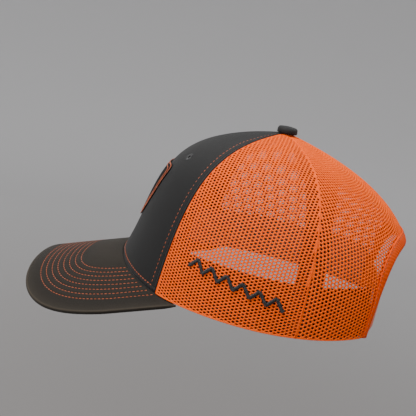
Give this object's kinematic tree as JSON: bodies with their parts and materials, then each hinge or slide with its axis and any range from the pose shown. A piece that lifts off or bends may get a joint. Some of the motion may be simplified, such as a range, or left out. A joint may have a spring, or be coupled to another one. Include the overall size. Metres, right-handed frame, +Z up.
{
  "type": "trucker cap",
  "caption": "Structured trucker cap with stiff fabric front panels, see-through mesh side and back panels, a curved visor, a top button and a plastic snap strap across a rear arch.",
  "frame": {"origin": "centre of the head opening, in the plane of its side edges", "axes": "+Z up through the crown, -Y to the front over the visor, +X to the wearer's left"},
  "size_m": [0.1694, 0.2599, 0.1514],
  "materials": {
    "charcoal_twill": "matt cotton twill",
    "visor_twill": "matt cotton twill, washed",
    "polyester_net": "open knitted mesh, slight sheen",
    "buckram": "stiff fused backing",
    "lining_tape": "plain woven tape",
    "sweatband_cloth": "soft cotton twill",
    "orange_binding": "twill binding",
    "orange_thread": "satin embroidery thread",
    "black_thread": "satin embroidery thread",
    "grey_thread": "satin embroidery thread",
    "visor_board_plastic": "matt",
    "snap_plastic": "semi-matt",
    "button_steel": "plain"
  },
  "bodies": {
    "crown": {"front_panel_left": "charcoal_twill", "front_buckram_left": "buckram", "mesh_side_left": "polyester_net", "mesh_back_left": "polyester_net", "seam_tape_front_left": "lining_tape", "seam_tape_side_left": "lining_tape", "strap_tab_left": "snap_plastic", "eyelet_left": "grey_thread", "front_panel_right": "charcoal_twill", "front_buckram_right": "buckram", "mesh_side_right": "polyester_net", "mesh_back_right": "polyester_net", "seam_tape_front_right": "lining_tape", "seam_tape_side_right": "lining_tape", "strap_tab_right": "snap_plastic", "eyelet_right": "grey_thread", "seam_tape_front_center": "lining_tape", "seam_tape_back_center": "lining_tape", "sweatband": "sweatband_cloth", "arch_binding": "orange_binding", "visor_top": "visor_twill", "visor_board": "visor_board_plastic", "visor_underside": "visor_twill", "button_cover": "charcoal_twill", "button_post": "button_steel", "button_backing": "button_steel", "badge_patch": "black_thread", "badge_border": "orange_thread", "side_motif": "black_thread"},
    "outer_strap": {"snap_strap_holes": "snap_plastic"},
    "inner_strap": {"snap_strap_pegs": "snap_plastic"}
  },
  "joints": [
    {"name": "outer_strap_swing", "type": "hinge", "parent": "crown", "child": "outer_strap", "pos_m": [0.04768, 0.08004, 0.017], "axis": [0, 0, -1], "range_deg": [0, 70], "stiffness_Nm_per_rad": 0.02},
    {"name": "inner_strap_swing", "type": "hinge", "parent": "crown", "child": "inner_strap", "pos_m": [-0.04768, 0.08004, 0.017], "axis": [0, 0, -1], "range_deg": [0, 60], "stiffness_Nm_per_rad": 0.02}
  ]
}
